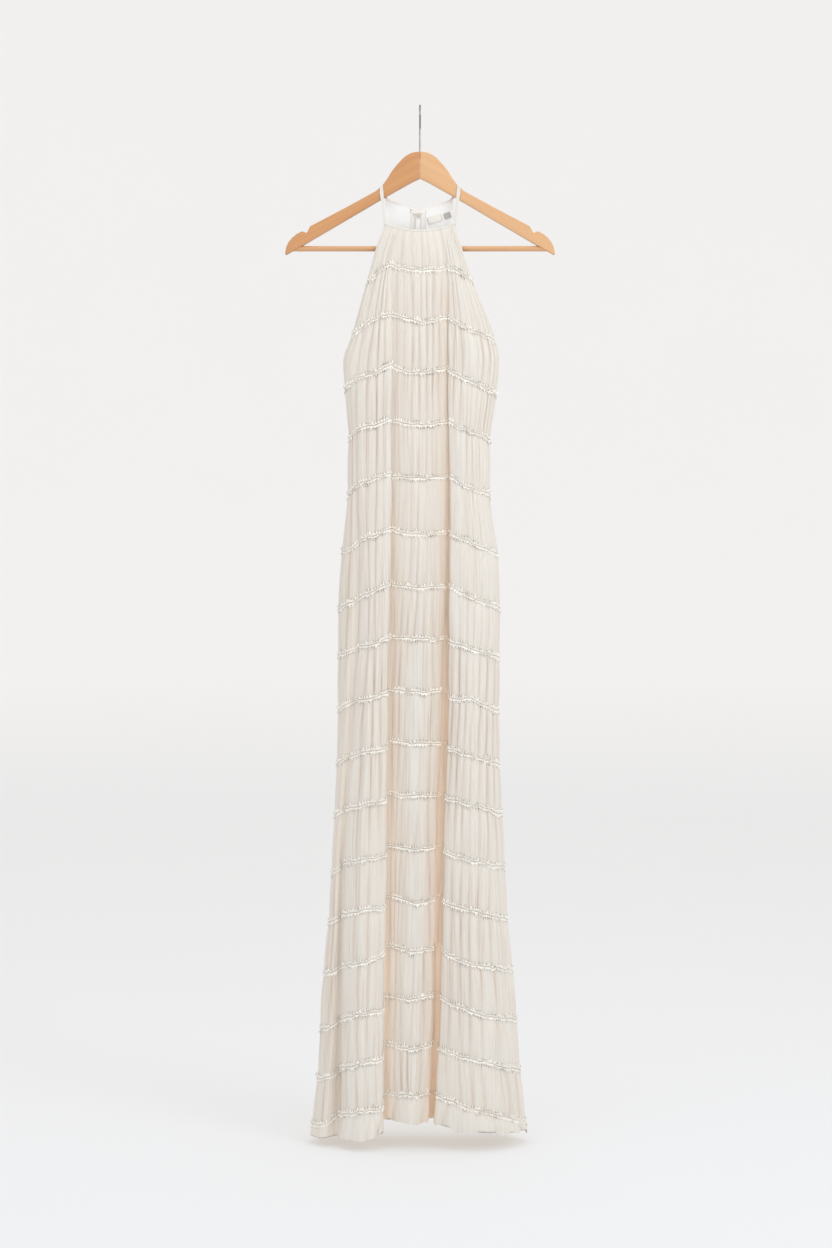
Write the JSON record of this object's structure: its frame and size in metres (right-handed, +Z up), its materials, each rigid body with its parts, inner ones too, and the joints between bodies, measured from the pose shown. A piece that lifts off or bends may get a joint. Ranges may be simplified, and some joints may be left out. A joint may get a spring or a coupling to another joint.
{
  "type": "halter-neck ruffle-tiered evening dress on a wooden hanger",
  "caption": "Floor-length halter-neck dress of gathered sheer cloth with rows of narrow ruffle trim, hung by its straps on a flat wooden hanger with a round bar and wire hook.",
  "frame": {"origin": "the top of the inside of the hook, where it rests on a rail, above the middle of the hanger", "axes": "+Z up the garment, -Y out of its front, +X to the right seen from the front, along the hanger"},
  "size_m": [0.4444, 0.1539, 1.698],
  "materials": {
    "chiffon": "cream sheer chiffon, finely gathered, matt with a soft sheen",
    "ruffle": "cream raw-edged ruffle trim, frayed and gathered",
    "lining": "white plain-woven lining, matt",
    "zip_tape": "off-white woven zip tape",
    "label_white": "blank white woven label",
    "label_grey": "blank grey woven tab",
    "brass_wire": "dull brass wire",
    "wood": "clear-lacquered light brown wood",
    "steel": "bright plated wire"
  },
  "bodies": {
    "root": {"front_panel": "chiffon", "back_left_panel": "chiffon", "back_right_panel": "chiffon", "front_neck_binding": "chiffon", "back_neck_binding_left": "chiffon", "back_neck_binding_right": "chiffon", "armhole_binding_front_left": "chiffon", "armhole_binding_front_right": "chiffon", "armhole_binding_back_left": "chiffon", "armhole_binding_back_right": "chiffon", "strap_left": "chiffon", "strap_right": "chiffon", "trim_01_front": "ruffle", "trim_01_back_left": "ruffle", "trim_01_back_right": "ruffle", "trim_02_front": "ruffle", "trim_02_back_left": "ruffle", "trim_02_back_right": "ruffle", "trim_03": "ruffle", "trim_04": "ruffle", "trim_05": "ruffle", "trim_06": "ruffle", "trim_07": "ruffle", "trim_08": "ruffle", "trim_09": "ruffle", "trim_10": "ruffle", "trim_11": "ruffle", "trim_12": "ruffle", "trim_13": "ruffle", "trim_14": "ruffle", "trim_15": "ruffle", "trim_16": "ruffle", "trim_17": "ruffle", "back_neck_facing_left": "lining", "back_neck_facing_right": "lining", "zip_tape_left": "zip_tape", "zip_tape_right": "zip_tape", "fastener_eye": "brass_wire", "fastener_hook": "brass_wire", "neck_label": "label_white", "size_tab": "label_grey", "hanger_arm_left": "wood", "hanger_arm_right": "wood", "hanger_bar": "wood", "hanger_hook": "steel"}
  },
  "joints": []
}
